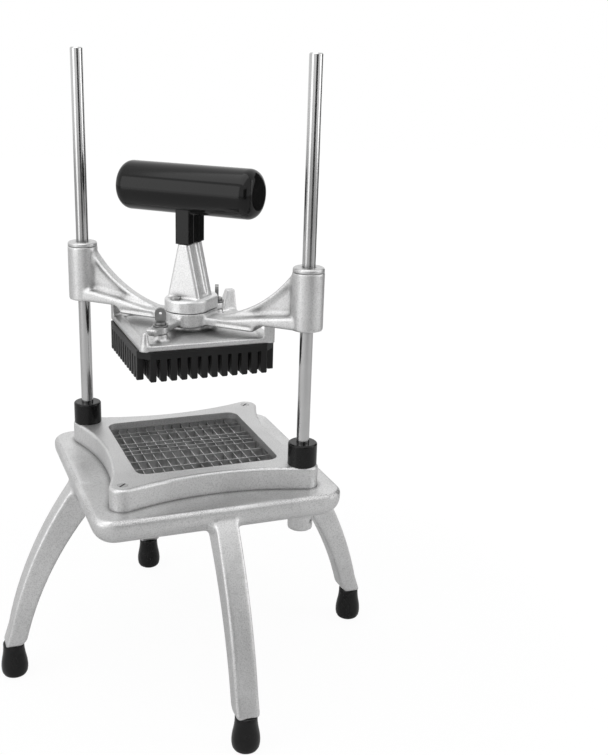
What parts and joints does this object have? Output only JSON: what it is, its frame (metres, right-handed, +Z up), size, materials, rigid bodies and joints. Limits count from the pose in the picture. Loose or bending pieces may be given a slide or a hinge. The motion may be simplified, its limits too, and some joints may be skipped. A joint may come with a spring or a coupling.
{
  "type": "french fry cutter",
  "caption": "Hand-pressed potato cutter: a T-handled head with a fingered pusher slides down two corner rods and presses through a blade grid on a four-legged stand.",
  "frame": {"origin": "on the floor, under the middle of the plate and of the four feet", "axes": "+X to the right along the plate's front edge, +Y to its back, +Z up along the guide rods"},
  "size_m": [0.3264, 0.3264, 0.502],
  "materials": {
    "cast_aluminium": "satin cast surface with a fine grain",
    "turned_aluminium": "turned, satin",
    "polished_steel": "polished",
    "blade_steel": "ground, dull",
    "plain_steel": "plain zinc-grey steel",
    "foot_rubber": "semi-gloss black rubber",
    "bumper_rubber": "semi-gloss black rubber",
    "grip_plastic": "high gloss",
    "block_plastic": "satin",
    "insert_brass": "turned"
  },
  "bodies": {
    "base": {"base_stand": "cast_aluminium", "foot_front": "foot_rubber", "foot_back": "foot_rubber", "foot_left": "foot_rubber", "foot_right": "foot_rubber", "foot_studs": "plain_steel", "guide_rod_left": "polished_steel", "guide_rod_right": "polished_steel", "rod_set_screws": "plain_steel", "bumper_left": "bumper_rubber", "bumper_right": "bumper_rubber", "blade_frame": "cast_aluminium", "frame_screws": "plain_steel", "blade_carrier": "blade_steel", "blades_long": "blade_steel", "blades_cross": "blade_steel"},
    "head": {"head_arm": "cast_aluminium", "sleeve_bush_left": "turned_aluminium", "sleeve_bush_right": "turned_aluminium", "handle_pedestal": "cast_aluminium", "pedestal_screws": "plain_steel", "handle_grip": "grip_plastic", "handle_bolt": "plain_steel", "handle_insert": "insert_brass", "pusher_plate": "cast_aluminium", "block_screws": "plain_steel", "pusher_block": "block_plastic", "wing_washers": "plain_steel"},
    "wing_screw_front": {"wing_screw_front": "plain_steel"},
    "wing_screw_back": {"wing_screw_back": "plain_steel"}
  },
  "joints": [
    {"name": "head_slide", "type": "slide", "parent": "base", "child": "head", "axis": [0, 0, 1], "range_m": [-0.091, 0.152]},
    {"name": "wing_screw_front_turn", "type": "hinge", "parent": "head", "child": "wing_screw_front", "pos_m": [-0.03253, -0.03253, 0.3], "axis": [0, 0, 1], "continuous": true},
    {"name": "wing_screw_back_turn", "type": "hinge", "parent": "head", "child": "wing_screw_back", "pos_m": [0.03253, 0.03253, 0.3], "axis": [0, 0, 1], "continuous": true}
  ]
}
